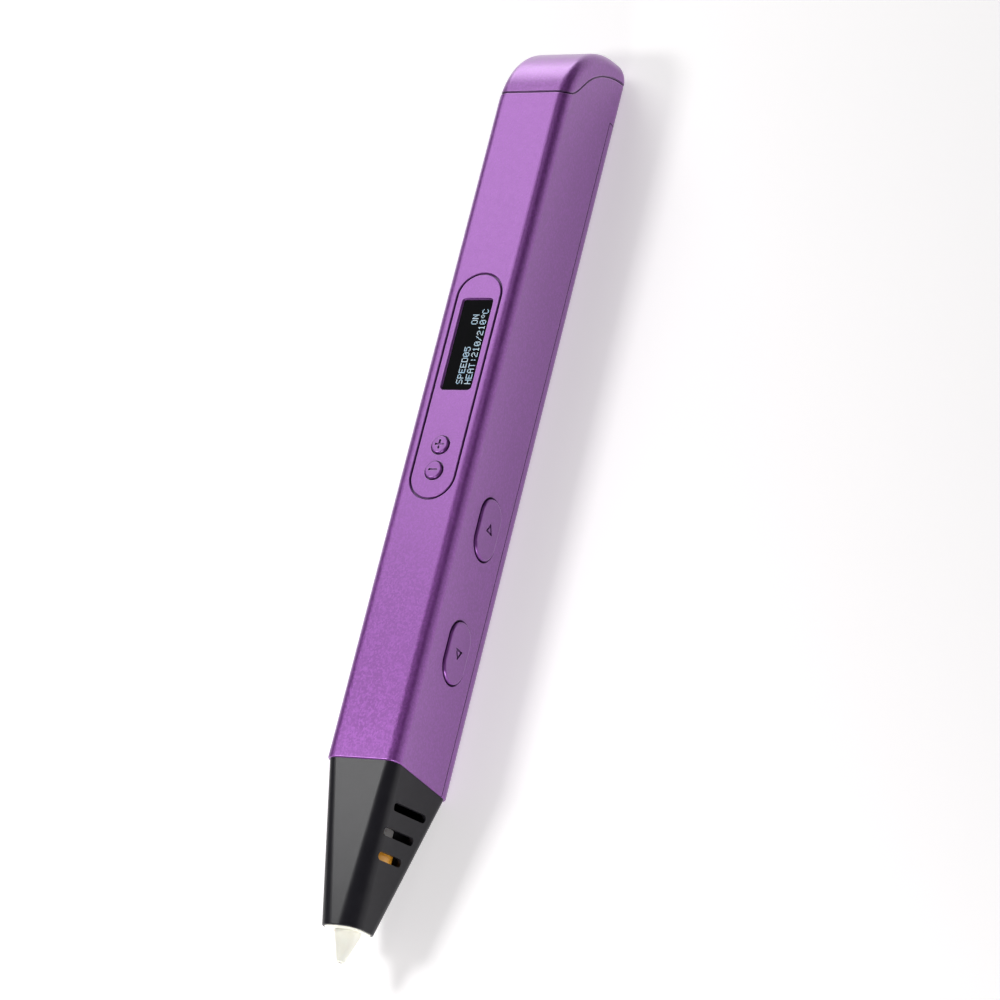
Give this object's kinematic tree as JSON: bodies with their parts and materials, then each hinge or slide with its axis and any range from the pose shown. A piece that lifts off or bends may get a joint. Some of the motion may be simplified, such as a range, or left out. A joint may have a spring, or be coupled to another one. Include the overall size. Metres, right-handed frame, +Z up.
{
  "type": "3d pen",
  "caption": "Slim 3-D drawing pen with a display inlay, side feed buttons, a tapered vented nose and a ceramic nozzle.",
  "frame": {"origin": "on the resting plane, under the middle of the pen's length and width, with the pen lying on its flat back", "axes": "+X along the pen from the nozzle to the end cap, +Z up out of the display face, -Y out of the side with the feed and retract buttons"},
  "size_m": [0.1851, 0.0157, 0.0213],
  "materials": {
    "violet_plastic": "satin metallic lacquer over moulded plastic",
    "violet_button": "satin moulded plastic",
    "black_nose": "fine matt heat-resistant plastic",
    "smoked_lens": "dark polished acrylic",
    "panel_glass": "black display glass",
    "black_plastic": "moulded",
    "white_plastic": "moulded acetal",
    "ptfe": "translucent white tube",
    "circuit_board": "solder mask",
    "steel": "machined",
    "dark_steel": "oxidised",
    "spring_steel": "drawn wire",
    "brass": "machined",
    "bronze": "sintered",
    "ceramic": "fired, satin",
    "alumina": "fired, matt",
    "kapton": "amber film",
    "wire_red": "insulated wire"
  },
  "bodies": {
    "casing": {"main_shell": "violet_plastic", "back_cover": "violet_plastic", "end_cap": "violet_plastic", "control_inlay": "violet_plastic", "nose_cone": "black_nose", "display_window": "smoked_lens", "oled_panel": "panel_glass", "panel_tray": "black_plastic", "front_switches": "black_plastic", "side_switches": "black_plastic", "main_board": "circuit_board", "side_board": "circuit_board", "board_parts": "black_plastic", "shaft_bushes": "bronze", "drive_frame": "black_plastic", "pressure_spring": "spring_steel", "gearbox_housing": "brass", "motor_can": "steel", "motor_brush_cap": "black_plastic", "inlet_bush": "steel", "inlet_tube": "ptfe", "feed_tube": "ptfe", "hotend_holder": "black_plastic", "heater_leads": "wire_red", "heat_break": "dark_steel", "cooling_collar": "alumina", "heater_core": "brass", "thermistor": "alumina", "kapton_wrap": "kapton", "nozzle": "ceramic", "nozzle_ring": "ceramic", "power_jack": "black_plastic", "jack_pin": "steel", "cover_screws": "dark_steel", "board_screws": "dark_steel", "frame_screws": "dark_steel"},
    "plus_key": {"plus_button": "violet_button", "plus_plunger": "white_plastic"},
    "minus_key": {"minus_button": "violet_button", "minus_plunger": "white_plastic"},
    "feed_key": {"feed_button": "violet_button", "feed_plunger": "white_plastic"},
    "retract_key": {"retract_button": "violet_button", "retract_plunger": "white_plastic"},
    "drive": {"bevel_gear": "white_plastic", "drive_shaft": "steel", "drive_wheel": "steel"},
    "motor_rotor": {"bevel_pinion": "brass", "motor_shaft": "steel"},
    "idler_carrier": {"idler_carriage": "white_plastic", "idler_pin": "steel"},
    "idler": {"idler_bearing": "steel"}
  },
  "joints": [
    {"name": "plus_press", "type": "slide", "parent": "casing", "child": "plus_key", "axis": [0, 0, -1], "range_m": [0, 0.00035], "stiffness_N_per_m": 900},
    {"name": "minus_press", "type": "slide", "parent": "casing", "child": "minus_key", "axis": [0, 0, -1], "range_m": [0, 0.00035], "stiffness_N_per_m": 900},
    {"name": "feed_press", "type": "slide", "parent": "casing", "child": "feed_key", "axis": [0, 1, 0], "range_m": [0, 0.0003], "stiffness_N_per_m": 1200},
    {"name": "retract_press", "type": "slide", "parent": "casing", "child": "retract_key", "axis": [0, 1, 0], "range_m": [0, 0.0003], "stiffness_N_per_m": 1200},
    {"name": "drive_spin", "type": "hinge", "parent": "casing", "child": "drive", "pos_m": [-0.02095, 0, 0.0055], "axis": [0, 1, 0], "continuous": true},
    {"name": "motor_spin", "type": "hinge", "parent": "casing", "child": "motor_rotor", "pos_m": [-0.01795, 0.00295, 0.0055], "axis": [1, 0, 0], "continuous": true},
    {"name": "idler_lift", "type": "slide", "parent": "casing", "child": "idler_carrier", "axis": [0, 0, 1], "range_m": [0, 0.0003], "stiffness_N_per_m": 2500, "deforming": ["pressure_spring"]},
    {"name": "idler_spin", "type": "hinge", "parent": "idler_carrier", "child": "idler", "pos_m": [-0.02095, 0, 0.01328], "axis": [0, 1, 0], "continuous": true}
  ],
  "couplings": [
    {"joint": "motor_spin", "follows": "drive_spin", "ratio": -2},
    {"joint": "idler_spin", "follows": "drive_spin", "ratio": -2}
  ]
}
